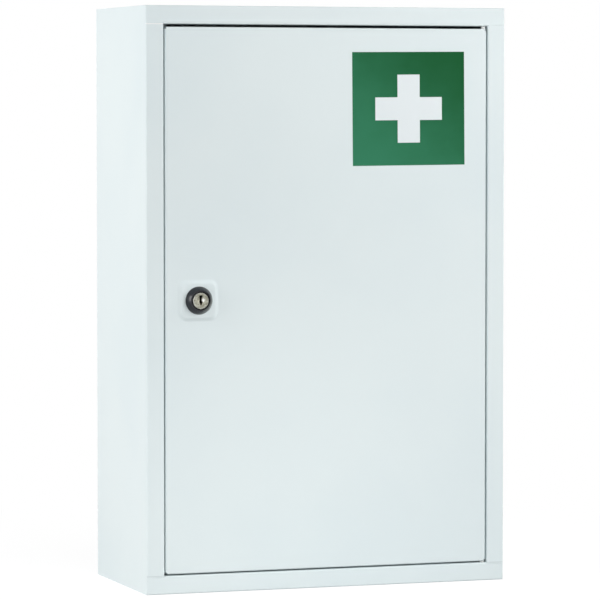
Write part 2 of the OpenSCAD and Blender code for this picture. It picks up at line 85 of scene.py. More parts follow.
camera_data = bpy.data.cameras.new("camera")
camera_data.lens = LENS_MM
camera_data.sensor_width = SENSOR_MM
camera_data.clip_end = FAR_LIMIT
camera = new_object("camera", camera_data)
camera.location = CAMERA_PLACE
camera.rotation_euler = (math.radians(90 - CAMERA_TILT_DOWN), 0, -math.radians(CAMERA_TURN_RIGHT))
bpy.context.scene.camera = camera
print("camera", round(Vector(CAMERA_PLACE).length, 2), "m from the cabinet's base")

# %% [markdown]
# ## Writing shaders as sums
#
# A finish is a small network of nodes. Wiring it by hand in code takes a line for each node and each
# link, and hides what is worked out. So a `Wire` stands for one output in the network: adding,
# subtracting and multiplying wires adds the Math nodes, and `add` makes any other node from its type,
# its settings and the values or wires of its inputs.

# %% A wire that adds and multiplies
class Wire:
    """An output of a node tree. Arithmetic on wires adds Math nodes."""

    def __init__(self, tree, socket):
        self.tree = tree
        self.socket = socket

    def maths(self, operation, *terms):
        return add(self.tree, "ShaderNodeMath", {"operation": operation}, dict(enumerate(terms)))

    def __add__(self, other):
        return self.maths("ADD", self, other)

    __radd__ = __add__

    def __sub__(self, other):
        return self.maths("SUBTRACT", self, other)

    def __rsub__(self, other):
        return self.maths("SUBTRACT", other, self)

    def __mul__(self, other):
        return self.maths("MULTIPLY", self, other)

    __rmul__ = __mul__

    def __truediv__(self, other):
        return self.maths("DIVIDE", self, other)

    def __lt__(self, other):
        return self.maths("LESS_THAN", self, other)

    def __abs__(self):
        return self.maths("ABSOLUTE", self)

    def sine(self):
        return self.maths("SINE", self)

    def at_most(self, limit):
        return self.maths("MINIMUM", self, limit)

    def at_least(self, limit):
        return self.maths("MAXIMUM", self, limit)


# %% One method for every other node
def add(tree, kind, settings=None, values=None, output=0):
    """Adds a node and returns one of its outputs, if it has any. Settings come first, since they can
    change its sockets. values are numbers or wires for its inputs, by name or by place in the list."""
    node = tree.nodes.new(kind)
    for name, value in (settings or {}).items():
        setattr(node, name, value)
    for key, value in (values or {}).items():
        plug(tree, node.inputs[key], value)
    if len(node.outputs):
        return Wire(tree, node.outputs[output])


def plug(tree, socket, value):
    if isinstance(value, Wire):
        tree.links.new(value.socket, socket)
    else:
        socket.default_value = value


# %% Mixing two colours
FACTOR, COLOUR_A, COLOUR_B, MIXED_COLOUR = 0, 6, 7, 2


def mixed(tree, mask, colour_a, colour_b):
    """colour_a where the mask is 0, colour_b where it is 1. A Mix node has sockets of the same name
    for numbers, vectors and colours, so the colour ones are called by their place in the list."""
    values = {FACTOR: mask, COLOUR_A: colour_a, COLOUR_B: colour_b}
    return add(tree, "ShaderNodeMix", {"data_type": "RGBA"}, values, MIXED_COLOUR)


def paint(red, green, blue):
    """A colour as a paint chart gives it, 0 to 255, turned into the linear values a shader takes.
    The numbers are those of the standard curve for screens."""
    def linear(channel):
        share = channel / 255
        return share / 12.92 if share <= 0.04045 else ((share + 0.055) / 1.055) ** 2.4
    return (linear(red), linear(green), linear(blue), 1.0)


print("half grey on a paint chart reflects", round(paint(128, 128, 128)[0], 3), "of the light")

# %% A finish starts as one Principled shader
class Finish:
    """A material with a Principled shader, and short names for the nodes that a finish needs."""

    def __init__(self, name, **constants):
        self.material = bpy.data.materials.new(name)
        self.material.use_nodes = True
        self.tree = self.material.node_tree
        self.shader = self.tree.nodes["Principled BSDF"]
        self.place = self.add("ShaderNodeTexCoord", output="Object")
        self.set(**constants)

    def add(self, kind, settings=None, values=None, output=0):
        return add(self.tree, kind, settings, values, output)

    def set(self, **inputs):
        for name, value in inputs.items():
            plug(self.tree, self.shader.inputs[name.replace("_", " ")], value)

    def along(self, axis):
        """One coordinate of the place: X to the right, Y into the cabinet, Z up."""
        return self.add("ShaderNodeSeparateXYZ", {}, {"Vector": self.place}, axis)

    def stretched(self, factors):
        """The place with each axis scaled by itself, for grain that runs one way."""
        values = {0: self.place, 1: factors}
        return self.add("ShaderNodeVectorMath", {"operation": "MULTIPLY"}, values)

    def noise(self, per_metre, detail, place=None):
        """Clouds of 0 to 1. per_metre counts them along a metre, so 1000 makes them about 1 mm wide.
        A stretched place brings its own counts, and then per_metre is 1."""
        values = {"Vector": place or self.place, "Scale": per_metre, "Detail": detail}
        return self.add("ShaderNodeTexNoise", {}, values, "Fac")

    def ramp(self, value, low, high):
        """0 below low, 1 above high, smooth between."""
        settings = {"interpolation_type": "SMOOTHSTEP"}
        values = {"Value": value, "From Min": low, "From Max": high}
        return self.add("ShaderNodeMapRange", settings, values)

    def band(self, value, middle, full, gone):
        """1 within full of the middle, 0 beyond gone, smooth between."""
        return 1 - self.ramp(abs(value - middle), full, gone)

    def mix(self, mask, colour_a, colour_b):
        return mixed(self.tree, mask, colour_a, colour_b)

    def bump(self, height, deepest):
        """Turns a height into a normal. deepest is what a height of 1 stands for, in metres."""
        self.set(Normal=self.add("ShaderNodeBump", {}, {"Height": height, "Distance": deepest}))


# %% [markdown]
# ## Powder coat
#
# The steel is sprayed with dry powder that melts and flows in an oven. It dries to a satin skin with a
# fine orange peel: low waves one to three millimetres long, and a much finer grain that gives the
# sheen its softness. The colour is a cool white, and hardly varies. The waves go to the bump and a
# little of them to the roughness, because the valleys of the skin are glossier than its crests. At the
# corners of the frame, fine lines on the seams between the sheets are painted into the colour: painted
# shade on the two lower ones, and a painted highlight on the one at the upper left.

# %% Where the painted seam lines lie
FRAME_FACE_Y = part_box("casing_shell")[0][1]
FACE_DEPTH = 0.7 * MM
OPENING_HALF_WIDTH = 135.5 * MM
OPENING_EDGE = 0.4 * MM
LOWER_SEAM_Z = 14.5 * MM
UPPER_SEAM_Z = 445.5 * MM
HAIRLINE_FULL, HAIRLINE_GONE = 0.2 * MM, 0.5 * MM
SHADED_SEAM = paint(213, 223, 225)
LIT_SEAM = paint(252, 254, 254)
LEFT, RIGHT = -1, 1
# Painted shade on the two lower seams, and a painted highlight on the upper left one
PAINTED_SEAM_LINES = [
    (LEFT, LOWER_SEAM_Z, SHADED_SEAM),
    (RIGHT, LOWER_SEAM_Z, SHADED_SEAM),
    (LEFT, UPPER_SEAM_Z, LIT_SEAM),
]


def seam_light_mask(finish, side, height):
    """1 on a level line across the front of the frame, from the opening to one side."""
    sideways = finish.along("X") * side
    on_frame = finish.ramp(sideways, OPENING_HALF_WIDTH, OPENING_HALF_WIDTH + OPENING_EDGE)
    on_face = finish.along("Y") - FRAME_FACE_Y < FACE_DEPTH
    return finish.band(finish.along("Z"), height, HAIRLINE_FULL, HAIRLINE_GONE) * (on_face * on_frame)


print("hairlines:", len(PAINTED_SEAM_LINES), "on the face at y", round(FRAME_FACE_Y / MM, 2), "mm")

# %% Mix the powder coat
def powder_coat(name, light, deep, gloss_loss, seams=()):
    """A satin powder coat. gloss_loss raises the roughness, for sheet that never gets polished.
    seams are lines of painted shade and painted highlight on the front: the side, the height and the
    colour of each."""
    finish = Finish(name, IOR=1.5, Specular_IOR_Level=0.5)
    peel = finish.noise(420, detail=2.5)
    grain = finish.noise(2600, detail=1.0)
    cloud = finish.noise(7, detail=3.0)
    colour = finish.mix(finish.ramp(cloud, 0.35, 0.7), light, deep)
    # Lines of painted shade and painted highlight along the seams of the frame
    for side, height, seam_light_colour in seams:
        colour = finish.mix(seam_light_mask(finish, side, height), colour, seam_light_colour)
    finish.set(
        Base_Color=colour,
        Roughness=0.34 + gloss_loss + 0.10 * peel + 0.05 * cloud,
    )
    finish.bump(peel + 0.25 * grain, 0.016 * MM)
    return finish.material


coat = powder_coat("powder_coat", paint(231, 241, 242), paint(227, 238, 240), 0.0, PAINTED_SEAM_LINES)
inner_coat = powder_coat("inner_powder_coat", paint(229, 237, 238), paint(225, 233, 235), 0.06)
print("powder coats:", coat.name, inner_coat.name)

# %% [markdown]
# ## Metals of the lock
#
# The rosette is cast zinc under a dark, glossy lacquer, so it is a dark dielectric and not a bare
# metal: its highlights stay white, and grow at its edges. The core's face is nickel-plated brass,
# turned on a lathe, so fine rings run round its axis. The nut, cam and pins are zinc-plated steel,
# slightly mottled where the plating bath left its crystals, and so is the housing, whose rim at the
# front is painted black, as painted shade for the gap between core and rosette. The wafers are
# rolled brass.
#
# Keys scratch the core. The other marks are painted light: a painted reflection on the rosette's
# right and lower flank, a painted highlight beside the slot and round the core's rim, and painted
# shade along the slot and on the upper half of the wafers. Each mark is a mask that is worked out
# from the distance to the lock's axis, and so needs no picture to paint it.

# %% The lock's axis, measured from the frame
core_low, core_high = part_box("lock_core")
LOCK_X = (core_low[0] + core_high[0]) / 2
LOCK_Z = (core_low[2] + core_high[2]) / 2
LOCK_AXIS = (LOCK_X, 0.0, LOCK_Z)
CORE_FACE_Y = core_low[1]
CORE_RADIUS = (core_high[0] - core_low[0]) / 2
print("lock axis at x", round(LOCK_X / MM, 2), "z", round(LOCK_Z / MM, 2), "mm")
print("core radius", round(CORE_RADIUS / MM, 2), "mm")


def from_lock_axis(finish):
    """How far a point lies to the right of the lock's axis, and how far above it."""
    return finish.along("X") - LOCK_X, finish.along("Z") - LOCK_Z


def rings_round_lock(finish, rings_per_mm):
    """The distance from the lock's axis, and waves in it as a lathe tool leaves them."""
    def vector_maths(operation, values, output=0):
        return finish.add("ShaderNodeVectorMath", {"operation": operation}, values, output)
    moved = vector_maths("SUBTRACT", {0: finish.place, 1: LOCK_AXIS})
    flat = vector_maths("MULTIPLY", {0: moved, 1: (1.0, 0.0, 1.0)})
    distance = vector_maths("LENGTH", {0: flat}, "Value")
    turns = distance * (rings_per_mm * math.tau / MM)
    return distance, turns.sine()


# %% Dark lacquer for the rosette
# A painted reflection: the rosette is painted lighter on its right and lower flank
ROSETTE_SHEEN_RIGHT, ROSETTE_SHEEN_DOWN = 0.85, 0.5
ROSETTE_SHEEN_UNEVEN = 3 * MM
ROSETTE_SHEEN_BEGINS, ROSETTE_SHEEN_FULL = 3.5 * MM, 10.5 * MM


def dark_lacquer():
    """The ring's right and lower flank is painted lighter grey, as a painted reflection of the bright
    room at a grazing angle.
    """
    finish = Finish("dark_lacquer", IOR=1.44)
    smear = finish.noise(240, detail=4.0)
    haze = finish.noise(60, detail=2.0)
    right, up = from_lock_axis(finish)
    reach = ROSETTE_SHEEN_RIGHT * right - ROSETTE_SHEEN_DOWN * up + ROSETTE_SHEEN_UNEVEN * (smear - 0.5)
    # Painted reflection on the flank that faces right and down
    painted_reflection = finish.ramp(reach, ROSETTE_SHEEN_BEGINS, ROSETTE_SHEEN_FULL)
    own_colour = finish.mix(smear, paint(12, 15, 22), paint(26, 30, 40))
    finish.set(
        Base_Color=finish.mix(painted_reflection, own_colour, paint(112, 118, 115)),
        Roughness=0.13 + 0.12 * finish.ramp(haze, 0.35, 0.7) + 0.15 * painted_reflection,
    )
    finish.bump(smear, 0.006 * MM)
    return finish.material


lacquer = dark_lacquer()
print("rosette finish:", lacquer.name)

# %% Key scratches, painted highlights and painted shade on the core
SCRATCHES_PER_METRE = (5200.0, 60.0, 700.0)
SCRATCHES_FULL, SCRATCHES_GONE = 1.2 * MM, 4.5 * MM
# A painted highlight beside the slot, where its wall would reflect a lamp
SPOT_RIGHT, SPOT_UP = 2.0 * MM, 0.7 * MM
SPOT_FLATTENED = 0.8
SPOT_FULL, SPOT_GONE = 0.6 * MM, 2.1 * MM
# A painted highlight round the core's rim, where its chamfer would catch the light
BRIGHT_RIM_BEGINS, BRIGHT_RIM_FULL = CORE_RADIUS - 0.75 * MM, CORE_RADIUS - 0.35 * MM
# Painted shade along the slot, which widens its dark outline
SLOT_MIDDLE_UP = 1.0 * MM
SLOT_END_FULL, SLOT_END_GONE = 2.9 * MM, 3.4 * MM
SLOT_SIDE_FULL, SLOT_SIDE_GONE = 0.75 * MM, 1.05 * MM
WIDENED_BY = 0.45 * MM
WIDE_TOP_BEGINS, WIDE_TOP_FULL = 2.5 * MM, 2.9 * MM
WIDE_FOOT_MIDDLE_UP = -0.95 * MM
WIDE_FOOT_FULL, WIDE_FOOT_GONE = 0.9 * MM, 1.3 * MM


def painted_highlight_spot(finish, right, up):
    aside = abs(right - SPOT_RIGHT) + SPOT_FLATTENED * abs(up - SPOT_UP)
    return 1 - finish.ramp(aside, SPOT_FULL, SPOT_GONE)


def painted_slot_shade(finish, right, up):
    """Painted shade follows the slot's outline, which is wider at its top and near its foot."""
    wide_top = finish.ramp(up, WIDE_TOP_BEGINS, WIDE_TOP_FULL)
    wide_foot = finish.band(up, WIDE_FOOT_MIDDLE_UP, WIDE_FOOT_FULL, WIDE_FOOT_GONE)
    from_side = abs(right) - WIDENED_BY * (wide_top + wide_foot)
    across_slot = 1 - finish.ramp(from_side, SLOT_SIDE_FULL, SLOT_SIDE_GONE)
    return finish.band(up, SLOT_MIDDLE_UP, SLOT_END_FULL, SLOT_END_GONE) * across_slot


print("grime along", round(2 * SLOT_END_FULL / MM, 1), "mm of the slot")
spot_distance = math.hypot(SPOT_RIGHT, SPOT_UP)
print("bright spot", round(spot_distance / MM, 1), "mm from the lock's axis")

# %% Nickel for the core
def turned_nickel():
    """Satin nickel with rings from the lathe and scratches from keys, with a painted highlight beside
    the slot and round the rim, and painted shade along the slot.
    """
    finish = Finish("turned_nickel", Metallic=1.0)
    distance, rings = rings_round_lock(finish, rings_per_mm=5.0)
    right, up = from_lock_axis(finish)
    tarnish = finish.ramp(finish.noise(1100, detail=3.0), 0.36, 0.64)
    scratches = finish.noise(1.0, detail=3.0, place=finish.stretched(SCRATCHES_PER_METRE))
    near_slot = 1 - finish.ramp(distance, SCRATCHES_FULL, SCRATCHES_GONE)
    worn = near_slot * finish.ramp(scratches, 0.5, 0.62)
    rim = finish.ramp(distance, BRIGHT_RIM_BEGINS, BRIGHT_RIM_FULL)
    painted_shade = painted_slot_shade(finish, right, up)
    colour = finish.mix(tarnish, paint(166, 167, 156), paint(120, 119, 104))
    colour = finish.mix(worn, colour, paint(158, 147, 120))
    # Painted highlight beside the slot, then painted highlight round the rim
    colour = finish.mix(painted_highlight_spot(finish, right, up), colour, paint(208, 209, 206))
    colour = finish.mix(0.7 * rim, colour, paint(214, 215, 208))
    # Painted shade along the slot darkens the colour
    finish.set(
        Base_Color=finish.mix(0.85 * painted_shade, colour, paint(44, 43, 38)),
        Roughness=0.22 + 0.14 * tarnish + 0.08 * worn + 0.15 * painted_shade,
    )
    finish.bump(rings * 0.5 + scratches * near_slot, 0.006 * MM)
    return finish.material


nickel = turned_nickel()
print("core finish:", nickel.name)

# %% Zinc plate, and the housing's rim in painted shade
# The housing's front rim is painted black, as painted shade in the gap round the core
PAINTED_SHADE_ENDS, PLATE_BEGINS = 3.0 * MM, 3.6 * MM


def zinc_plate():
    finish = Finish("zinc_plate", Metallic=1.0)
    values = {"Vector": finish.place, "Scale": 900.0}
    crystals = finish.add("ShaderNodeTexVoronoi", {"feature": "F1"}, values, "Distance")
    cloud = finish.noise(160, detail=3.0)
    finish.set(
        Base_Color=finish.mix(cloud, paint(128, 131, 136), paint(148, 151, 154)),
        Roughness=0.36 + 0.14 * cloud + 0.06 * crystals,
    )
    finish.bump(crystals, 0.006 * MM)
    return finish.material


def housing_with_shaded_rim():
    """Zinc at the back. The rim at the front is painted black, as painted shade for the gap round the
    core, so it shows as a black ring.
    """
    finish = Finish("housing_with_shaded_rim", IOR=1.45, Specular_IOR_Level=0.3)
    bare = finish.ramp(finish.along("Y") - CORE_FACE_Y, PAINTED_SHADE_ENDS, PLATE_BEGINS)
    cloud = finish.noise(200, detail=3.0)
    plated = finish.mix(cloud, paint(126, 129, 134), paint(146, 149, 152))
    # Black at the front is painted shade
    finish.set(
        Base_Color=finish.mix(bare, paint(11, 11, 13), plated),
        Metallic=bare,
        Roughness=0.5 - 0.2 * bare + 0.12 * cloud,
    )
    finish.bump(cloud, 0.006 * MM)
    return finish.material


zinc = zinc_plate()
housing_zinc = housing_with_shaded_rim()
print("plated finishes:", zinc.name, housing_zinc.name)

# %% Brass, nylon and rubber
ROLLED_PER_METRE = (900.0, 900.0, 90.0)
# Painted shade on the upper half of the wafers, inside the slot
WAFER_SHADE_UNEVEN = 2 * MM
WAFER_SHADE_BEGINS, WAFER_SHADE_FULL = -2.8 * MM, -0.8 * MM
EVEN_RADIUS = (1.0, 1.0, 1.0)


def sheet_brass():
    """Rolled brass. The upper half of the wafers, inside the slot, is painted dark as painted shade."""
    finish = Finish("sheet_brass", Metallic=1.0)
    rolled = finish.noise(1.0, detail=3.0, place=finish.stretched(ROLLED_PER_METRE))
    up = from_lock_axis(finish)[1]
    # Painted shade, darker towards the top of the slot
    wafer_shade = finish.ramp(up + WAFER_SHADE_UNEVEN * (rolled - 0.5), WAFER_SHADE_BEGINS, WAFER_SHADE_FULL)
    clean = finish.mix(rolled, paint(150, 112, 58), paint(176, 138, 78))
    finish.set(
        Base_Color=finish.mix(wafer_shade, clean, paint(34, 32, 30)),
        Roughness=0.30 + 0.15 * rolled + 0.2 * wafer_shade,
    )
    finish.bump(rolled, 0.004 * MM)
    return finish.material


def natural_nylon():
    """Unpainted nylon lets a little light in. It scatters all colours alike, so its rim stays white."""
    finish = Finish(
        "natural_nylon",
        Subsurface_Weight=0.15, Subsurface_Scale=1.0 * MM, Subsurface_Radius=EVEN_RADIUS,
    )
    cloud = finish.noise(500, detail=2.0)
    finish.set(
        Base_Color=finish.mix(cloud, paint(212, 215, 213), paint(224, 227, 225)),
        Roughness=0.42 + 0.1 * cloud,
    )
    finish.bump(cloud, 0.006 * MM)
    return finish.material


def black_rubber():
    """Soft black rubber, with dust caught in its skin."""
    finish = Finish("black_rubber", IOR=1.52)
    dust = finish.noise(700, detail=4.0)
    finish.set(
        Base_Color=finish.mix(finish.ramp(dust, 0.45, 0.75), paint(42, 43, 45), paint(66, 67, 69)),
        Roughness=0.62 + 0.15 * dust,
    )
    finish.bump(dust, 0.02 * MM)
    return finish.material


brass = sheet_brass()
nylon = natural_nylon()
rubber = black_rubber()
print("other finishes:", brass.name, nylon.name, rubber.name)

# %% [markdown]
# ## Give the CAD parts their finishes
#
# A CAD part keeps its shape and place, and gets its finish in its material slot. The housing has a
# finish of its own, because only its rim is painted black, as painted shade.

# %% Dress the CAD parts
FINISH_OF_SLOT = {
    "paint": coat,
    "inner_paint": inner_coat,
    "dark_chrome": lacquer,
    "nickel": nickel,
    "zinc": zinc,
    "brass": brass,
    "nylon": nylon,
    "rubber": rubber,
}


def put_on(piece, material):
    piece.data.materials.clear()
    piece.data.materials.append(material)


for part in frame["record"]["subparts"]:
    put_on(nodes[part["node"]], FINISH_OF_SLOT[part["material_slot"]])
put_on(nodes["lock_housing"], housing_zinc)

# %% [markdown]
# ## Round the edges
#
# CAD draws every cut edge of the sheet sharp, but a coated edge is round, and a round edge is what
# catches the light. So each part gets four modifiers. Its faces aren't joined everywhere, so a weld
# joins them first. A bevel then rounds the sharp edges. A small Geometry Nodes tree shades the surface
# smooth and keeps the edges that are still sharp. Last, weighted normals keep the flat faces flat. Two
# parts do without: the rosette is round already, and the buffers are made anew further on.

# %% A tree that shades smooth up to an angle
SMOOTH_UP_TO = math.radians(32)


def new_geometry_tree(name):
    """A Geometry Nodes tree that takes a geometry and gives one back."""
    tree = bpy.data.node_groups.new(name, "GeometryNodeTree")
    for way in ("INPUT", "OUTPUT"):
        tree.interface.new_socket("Geometry", in_out=way, socket_type="NodeSocketGeometry")
    return tree


def smooth_up_to_angle():
    tree = new_geometry_tree("smooth_up_to_angle")
    kind = "GeometryNodeSetShadeSmooth"
    piece = add(tree, "NodeGroupInput", output="Geometry")
    faces = add(tree, kind, {"domain": "FACE"}, {"Geometry": piece, "Shade Smooth": True})
    angle = add(tree, "GeometryNodeInputMeshEdgeAngle", output="Unsigned Angle")
    values = {"Geometry": faces, "Shade Smooth": angle < SMOOTH_UP_TO}
    edges = add(tree, kind, {"domain": "EDGE"}, values)
    add(tree, "NodeGroupOutput", {}, {"Geometry": edges})
    return tree


smooth_tree = smooth_up_to_angle()
print("edges under", round(math.degrees(SMOOTH_UP_TO)), "degrees are shaded smooth")

# %% Weld, bevel and smooth
WELD_WITHIN = 0.002 * MM
SHARP_FROM = math.radians(40)
EDGE_ROUND_MM = {
    "casing_shell": 0.15, "top_panel": 0.15, "bottom_panel": 0.15, "door_panel": 0.15,
    "shelf_lower": 0.22, "shelf_upper": 0.22,
    "rail_lower_left": 0.25, "rail_lower_right": 0.25,
    "rail_upper_left": 0.25, "rail_upper_right": 0.25,
    "hinge_pin_upper": 0.3, "hinge_pin_lower": 0.3,
    "hinge_washer_upper": 0.15, "hinge_washer_lower": 0.15,
    "lock_core": 0.22, "lock_housing": 0.12, "lock_nut": 0.3, "turn_disc": 0.15, "lock_cam": 0.3,
    "cam_screw": 0.25, "lock_wafers": 0.05, "lock_spring_washer": 0.15,
}


def round_edges(piece, radius_mm):
    """Welds the loose triangles, rounds the sharp edges and smooths what is left."""
    weld = piece.modifiers.new("weld", "WELD")
    weld.merge_threshold = WELD_WITHIN
    bevel = piece.modifiers.new("bevel", "BEVEL")
    bevel.width = radius_mm * MM
    bevel.segments = 2
    bevel.limit_method = "ANGLE"
    bevel.angle_limit = SHARP_FROM
    bevel.miter_outer = "MITER_ARC"
    smooth = piece.modifiers.new("smooth", "NODES")
    smooth.node_group = smooth_tree
    weighted = piece.modifiers.new("flat_faces_stay_flat", "WEIGHTED_NORMAL")
    weighted.keep_sharp = True


for name, radius_mm in EDGE_ROUND_MM.items():
    round_edges(nodes[name], radius_mm)
print("edges rounded on", len(EDGE_ROUND_MM), "parts")

# %% [markdown]
# ## The sign
#
# A white cross on green marks first aid everywhere. Here it is a thin printed foil, 95 by 90 mm, stuck
# to the door near its upper right corner. The cross is the white of the foil and lies in the
# green, flush with it. It is built as two flat pieces, so that each keeps a clean edge at any distance:
# a green one with a cross-shaped opening, and the cross that fills it.

# %% Outline of the sign and its cross
SIGN_CENTRE_X = 67.85 * MM
SIGN_CENTRE_Z = 379.7 * MM
SIGN_WIDTH = 94.9 * MM
SIGN_HEIGHT = 90.0 * MM
SIGN_THICKNESS = 0.10 * MM
SIGN_TURN = math.radians(0.45)
CROSS_WIDTH = 56.5 * MM
CROSS_HEIGHT = 54.1 * MM
CROSS_ARM_WIDE = 18.9 * MM
CROSS_ARM_HIGH = 18.2 * MM
CROSS_PLAY = 0.03 * MM
DOOR_FACE_Y = FRAME_FACE_Y
print("the door's face is flush with the frame, at y", round(DOOR_FACE_Y / MM, 2), "mm")


def cross_outline(play=0.0):
    """The twelve corners of the cross, anticlockwise from the right arm's foot. play is taken off its
    sizes, so that it fits into its own opening."""
    sizes = (CROSS_WIDTH, CROSS_HEIGHT, CROSS_ARM_WIDE, CROSS_ARM_HIGH)
    x, z, a, b = ((size - play) / 2 for size in sizes)
    return [
        (x, -b), (x, b), (a, b), (a, z), (-a, z), (-a, b),
        (-x, b), (-x, -b), (-a, -b), (-a, -z), (a, -z), (a, -b),
    ]


def rectangle_outline(width, height):
    x, z = width / 2, height / 2
    return [(x, -z), (x, z), (-x, z), (-x, -z)]


def on_the_door(x, z):
    """A place on the sign as a point on the door. The foil was stuck on by hand, a little askew."""
    cosine, sine = math.cos(SIGN_TURN), math.sin(SIGN_TURN)
    across = SIGN_CENTRE_X + x * cosine - z * sine
    up = SIGN_CENTRE_Z + x * sine + z * cosine
    return (across, DOOR_FACE_Y, up)


# %% Flat pieces from outlines
def closed_piece(name, shape):
    """Turns a closed bmesh into an object of its own, with its faces pointing outwards."""
    bmesh.ops.recalc_face_normals(shape, faces=list(shape.faces))
    mesh = bpy.data.meshes.new(name)
    shape.to_mesh(mesh)
    shape.free()
    return new_object(name, mesh)


def flat_piece(name, outline, opening=None):
    """A thin plate on the door's face, cut to an outline, with an opening in it if there is one."""
    shape = bmesh.new()
    loops = []
    for points in filter(None, (outline, opening)):
        corners = [shape.verts.new(on_the_door(x, z)) for x, z in points]
        loops += [shape.edges.new((corners[i - 1], corners[i])) for i in range(len(corners))]
    bmesh.ops.triangle_fill(shape, edges=loops, use_beauty=True)
    grown = bmesh.ops.extrude_face_region(shape, geom=list(shape.faces))["geom"]
    raised = [v for v in grown if isinstance(v, bmesh.types.BMVert)]
    bmesh.ops.translate(shape, verts=raised, vec=(0, -SIGN_THICKNESS, 0))
    return closed_piece(name, shape)


sign_ground = flat_piece("sign_ground", rectangle_outline(SIGN_WIDTH, SIGN_HEIGHT), cross_outline())
sign_cross = flat_piece("sign_cross", cross_outline(CROSS_PLAY))
print("sign", round(SIGN_WIDTH / MM, 1), "by", round(SIGN_HEIGHT / MM, 1), "mm")

# %% Printed foil
# A painted sheen: the sign is painted lighter towards its lower left corner
SIGN_SHEEN_ACROSS, SIGN_SHEEN_UP = 0.85, 1.15
SIGN_SHEEN_UNEVEN = 40 * MM


def sign_sheen_line(across, up):
    """Grows from the sign's lower left corner to its upper right. Takes numbers or wires."""
    return SIGN_SHEEN_ACROSS * across + SIGN_SHEEN_UP * up


SIGN_SHEEN_FULL_AT = sign_sheen_line(SIGN_CENTRE_X - SIGN_WIDTH / 2, SIGN_CENTRE_Z - SIGN_HEIGHT / 2)
SIGN_SHEEN_GONE_AT = sign_sheen_line(SIGN_CENTRE_X + SIGN_WIDTH / 2, SIGN_CENTRE_Z + SIGN_HEIGHT / 2)


def printed_foil(name, sheened, own_colour):
    """A printed vinyl foil: a smooth film with a very faint grain, which softens its gloss. Its colour
    is painted lighter towards its lower left corner, as a painted sheen."""
    finish = Finish(name, IOR=1.5, Specular_IOR_Level=0.12)
    mottle = finish.noise(55, detail=3.0)
    grain = finish.noise(1800, detail=2.0)
    sheen_place = sign_sheen_line(finish.along("X"), finish.along("Z")) + (mottle - 0.5) * SIGN_SHEEN_UNEVEN
    # Painted sheen, lighter towards the lower left
    finish.set(
        Base_Color=finish.mix(finish.ramp(sheen_place, SIGN_SHEEN_FULL_AT, SIGN_SHEEN_GONE_AT), sheened, own_colour),
        Roughness=0.36 + 0.08 * grain,
    )
    finish.bump(0.7 * grain + mottle, 0.008 * MM)
    return finish.material


green_foil = printed_foil("green_foil", paint(49, 128, 93), paint(2, 87, 41))
white_foil = printed_foil("white_foil", paint(238, 245, 247), paint(240, 247, 249))
print("foils:", green_foil.name, white_foil.name)

# %% Stick the sign on the door
SIGN_PIECES = (
    (sign_ground, green_foil, "sign_green"),
    (sign_cross, white_foil, "sign_white"),
)

for piece, material, slot in SIGN_PIECES:
    put_on(piece, material)
    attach(piece, "door")
print("on the door:", [piece.name for piece, material, slot in SIGN_PIECES])

# %% [markdown]
# ## Rubber buffers
#
# The door closes on two rubber buttons that are pressed into the stop lip. Each is turned: a flat foot,
# a rounded shoulder and a shallow dimple on top from its mould. A turned shape is its profile carried
# round an axis, so the mesh is written as rings of points, each ring joined to the next.

# %% Turned pieces
def turned_mesh(shape, profile, centre, sides=40):
    """Adds a solid of revolution about an axis along Y. profile is (radius, y) from pole to pole."""
    angles = [math.tau * i / sides for i in range(sides)]
    rings = []
    for radius, y in profile:
        points = [(radius * math.cos(a), radius * math.sin(a)) for a in angles] if radius else [(0, 0)]
        rings.append([shape.verts.new((centre[0] + x, y, centre[1] + z)) for x, z in points])
    for inner, outer in zip(rings, rings[1:]):
        for i in range(sides):
            j = i + 1
            corners = [inner[i % len(inner)], outer[i % len(outer)]]
            corners += [outer[j % len(outer)], inner[j % len(inner)]]
            # A pole is one point, so two of its face's corners are the same and one is dropped
            shape.faces.new(list(dict.fromkeys(corners)))


# %% Profile of a buffer, in shares of its radius and height
SHOULDER = 0.4
SHOULDER_STEPS = 8
DIMPLE_EDGE, DIMPLE_FLOOR = 0.45, 0.35
DIMPLE_FLOOR_DEPTH, DIMPLE_MIDDLE_DEPTH = 0.08, 0.14


def button_profile(radius, foot_y, top_y):
    """Foot, shoulder and dimple of a moulded button. It rises towards -Y."""
    height = foot_y - top_y
    bend = SHOULDER * height
    shoulder = []
    for i in range(SHOULDER_STEPS + 1):
        turn = math.pi / 2 * i / SHOULDER_STEPS
        shoulder.append((radius - bend * (1 - math.cos(turn)), top_y + bend * (1 - math.sin(turn))))
    dimple = [
        (radius * DIMPLE_EDGE, top_y),
        (radius * DIMPLE_FLOOR, top_y + DIMPLE_FLOOR_DEPTH * height),
        (0, top_y + DIMPLE_MIDDLE_DEPTH * height),
    ]
    return [(0, foot_y), (radius, foot_y)] + shoulder + dimple


# %% Turn the buffers
buffer_low, buffer_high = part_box("door_buffers")
BUFFER_X = (buffer_low[0] + buffer_high[0]) / 2
BUFFER_RADIUS = (buffer_high[0] - buffer_low[0]) / 2
buffer_shape = bmesh.new()
for z in (buffer_low[2] + BUFFER_RADIUS, buffer_high[2] - BUFFER_RADIUS):
    profile = button_profile(BUFFER_RADIUS, foot_y=buffer_high[1], top_y=buffer_low[1])
    turned_mesh(buffer_shape, profile, (BUFFER_X, z))
rubber_buttons = closed_piece("rubber_buttons", buffer_shape)
for face in rubber_buttons.data.polygons:
    face.use_smooth = True
put_on(rubber_buttons, rubber)
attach(rubber_buttons, "casing")
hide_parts("door_buffers")
print("buffers of radius", round(BUFFER_RADIUS / MM, 2), "mm")

# %% [markdown]
# ## Recipes for what repeats
#
# The rails are spot-welded to the sides, and the barrel of the lock is threaded. Both repeat one small
# shape by a rule, which is what Geometry Nodes are for. A `Recipe` is a tree with named sizes. It ends
# in Realize Instances and Set Material, and its result is baked to a plain mesh, because the export
# drops instances.

